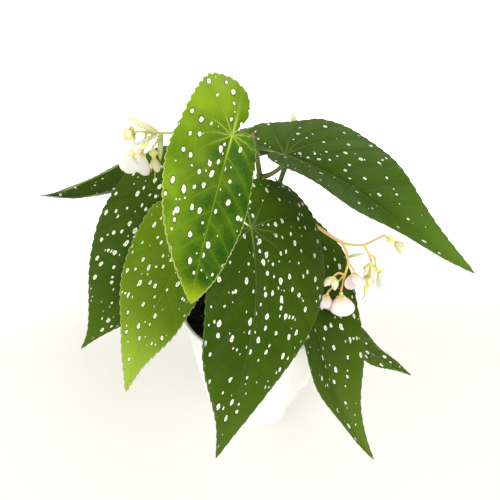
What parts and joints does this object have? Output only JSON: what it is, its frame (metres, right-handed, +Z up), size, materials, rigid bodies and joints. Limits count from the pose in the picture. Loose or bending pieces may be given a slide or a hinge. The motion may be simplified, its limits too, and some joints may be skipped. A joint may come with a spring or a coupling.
{
  "type": "potted cane begonia",
  "caption": "Cane-stemmed begonia with lop-sided, pointed, white-spotted leaves and small pale flower sprays, growing in a plain tapered white nursery pot.",
  "frame": {"origin": "centre of the pot's flat underside, on the surface it stands on", "axes": "+Z up; -Y towards the viewer of the picture; +X to the picture's right"},
  "size_m": [0.4038, 0.3582, 0.3667],
  "materials": {
    "pot_plastic": "satin",
    "potting_mix": "matte",
    "cane_bark": "satin",
    "leaf_dark": "satin",
    "leaf_light": "satin",
    "leaf_young": "satin",
    "spray_stalk": "satin",
    "tepal_white": "matte"
  },
  "bodies": {
    "root": {"pot": "pot_plastic", "soil": "potting_mix", "cane_front": "cane_bark", "cane_right": "cane_bark", "cane_left": "cane_bark", "leaf_young": "leaf_young", "leaf_centre": "leaf_dark", "leaf_left_light": "leaf_light", "leaf_left_dark": "leaf_dark", "leaf_far_left": "leaf_dark", "leaf_right_large": "leaf_dark", "leaf_right_low": "leaf_dark", "leaf_right_small": "leaf_dark", "leaf_back_top": "leaf_dark", "leaf_back_left": "leaf_dark", "leaf_back_right": "leaf_dark", "leaf_back_centre": "leaf_dark", "spray_left": "spray_stalk", "spray_right": "spray_stalk", "bloom_left_large": "tepal_white", "bloom_left_upper": "tepal_white", "bloom_left_faded": "tepal_white", "bloom_left_small": "tepal_white", "bloom_right_tip": "tepal_white", "bloom_right_winged": "tepal_white", "bloom_right_outer": "tepal_white", "bloom_heart_back": "tepal_white", "bloom_right_small": "tepal_white", "bloom_heart_front": "tepal_white", "bloom_right_upper": "tepal_white"}
  },
  "joints": []
}
